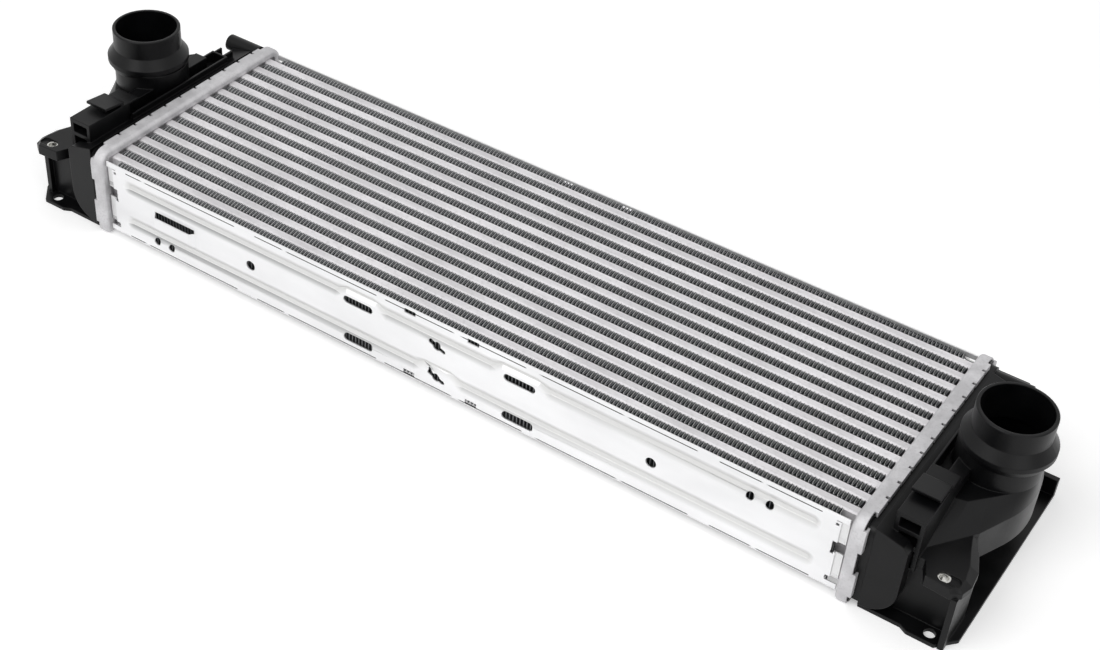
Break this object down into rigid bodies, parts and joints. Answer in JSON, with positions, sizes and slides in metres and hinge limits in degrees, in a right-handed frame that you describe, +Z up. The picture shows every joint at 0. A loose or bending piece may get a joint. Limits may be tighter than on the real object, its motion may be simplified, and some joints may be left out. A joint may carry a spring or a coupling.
{
  "type": "intercooler",
  "caption": "Flat air-to-air charge cooler: brazed aluminium tube and fin core with pressed side plates, crimped between two black moulded air tanks with upright hose necks.",
  "frame": {"origin": "middle of the core seen from above, on the plane of the undersides of the two base flanges, on which the part lies", "axes": "+X along the tubes towards the right-hand tank, +Y across the stack away from the mounting lugs, +Z up out of the hose necks"},
  "size_m": [0.8316, 0.217, 0.1197],
  "materials": {
    "tube_aluminium": "satin, brazed",
    "turbulator_aluminium": "dull, brazed",
    "fin_aluminium": "satin foil",
    "header_aluminium": "satin, pressed",
    "plate_aluminium": "satin, pressed",
    "tank_nylon": "moulded glass-filled nylon, soft sheen",
    "seal_rubber": "matt",
    "bush_steel": "bright plated"
  },
  "bodies": {
    "root": {"cooling_fin_01": "fin_aluminium", "cooling_fin_02": "fin_aluminium", "cooling_fin_03": "fin_aluminium", "cooling_fin_04": "fin_aluminium", "cooling_fin_05": "fin_aluminium", "cooling_fin_06": "fin_aluminium", "cooling_fin_07": "fin_aluminium", "cooling_fin_08": "fin_aluminium", "cooling_fin_09": "fin_aluminium", "cooling_fin_10": "fin_aluminium", "cooling_fin_11": "fin_aluminium", "cooling_fin_12": "fin_aluminium", "cooling_fin_13": "fin_aluminium", "cooling_fin_14": "fin_aluminium", "far_side_plate": "plate_aluminium", "left_header": "header_aluminium", "left_lug_bush": "bush_steel", "left_seal": "seal_rubber", "left_tank": "tank_nylon", "near_side_plate": "plate_aluminium", "right_header": "header_aluminium", "right_lug_bush": "bush_steel", "right_seal": "seal_rubber", "right_tank": "tank_nylon", "tube_01": "tube_aluminium", "tube_02": "tube_aluminium", "tube_03": "tube_aluminium", "tube_04": "tube_aluminium", "tube_05": "tube_aluminium", "tube_06": "tube_aluminium", "tube_07": "tube_aluminium", "tube_08": "tube_aluminium", "tube_09": "tube_aluminium", "tube_10": "tube_aluminium", "tube_11": "tube_aluminium", "tube_12": "tube_aluminium", "tube_13": "tube_aluminium", "turbulator_01": "turbulator_aluminium", "turbulator_02": "turbulator_aluminium", "turbulator_03": "turbulator_aluminium", "turbulator_04": "turbulator_aluminium", "turbulator_05": "turbulator_aluminium", "turbulator_06": "turbulator_aluminium", "turbulator_07": "turbulator_aluminium", "turbulator_08": "turbulator_aluminium", "turbulator_09": "turbulator_aluminium", "turbulator_10": "turbulator_aluminium", "turbulator_11": "turbulator_aluminium", "turbulator_12": "turbulator_aluminium", "turbulator_13": "turbulator_aluminium"}
  },
  "joints": []
}
